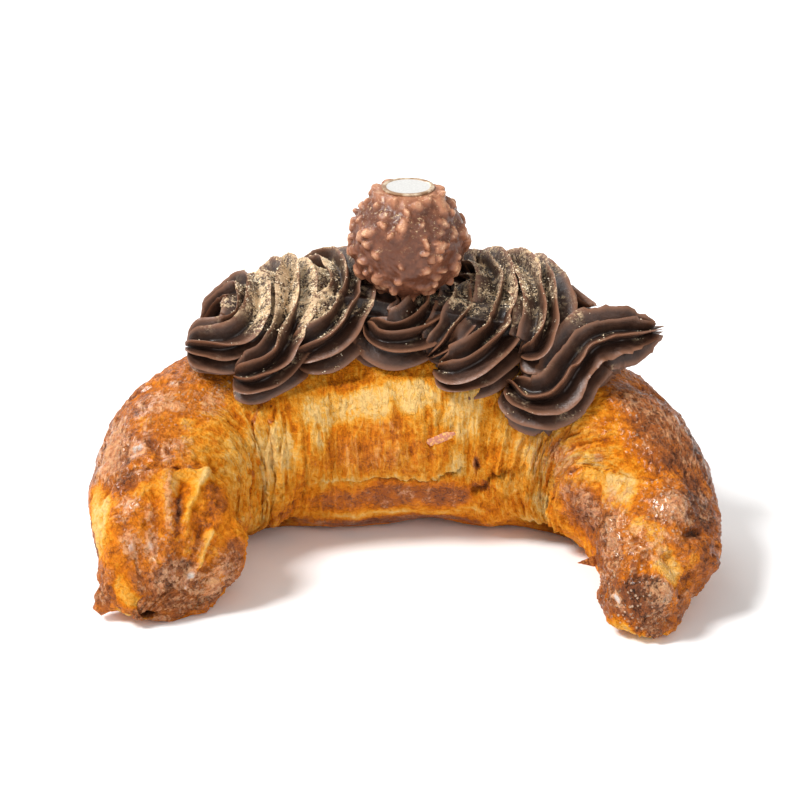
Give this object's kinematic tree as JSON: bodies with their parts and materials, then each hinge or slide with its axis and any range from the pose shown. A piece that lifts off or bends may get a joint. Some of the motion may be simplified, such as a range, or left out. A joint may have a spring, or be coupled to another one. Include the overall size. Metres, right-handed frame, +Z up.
{
  "type": "chocolate hazelnut croissant",
  "caption": "Crescent croissant with a browned flaky crust, a border of star-piped chocolate ganache along its back and a round hazelnut praline with a blank paper seal on top.",
  "frame": {"origin": "on the flat underside, on the middle plane of the crescent and near its centre line, so the croissant stands on z = 0", "axes": "+Z up; X along the crescent from the left horn to the right horn; the horns point towards -Y"},
  "size_m": [0.1518, 0.1006, 0.0869],
  "materials": {
    "crust": "egg-glazed baked dough, amber to dark brown",
    "ganache": "satin dark chocolate dusted with pale gold powder",
    "praline": "milk chocolate shell over chopped nuts, satin gloss",
    "seal": "white coated paper with a thin gold rim"
  },
  "bodies": {
    "root": {"croissant": "crust", "ganache": "ganache", "praline": "praline", "seal": "seal"}
  },
  "joints": []
}
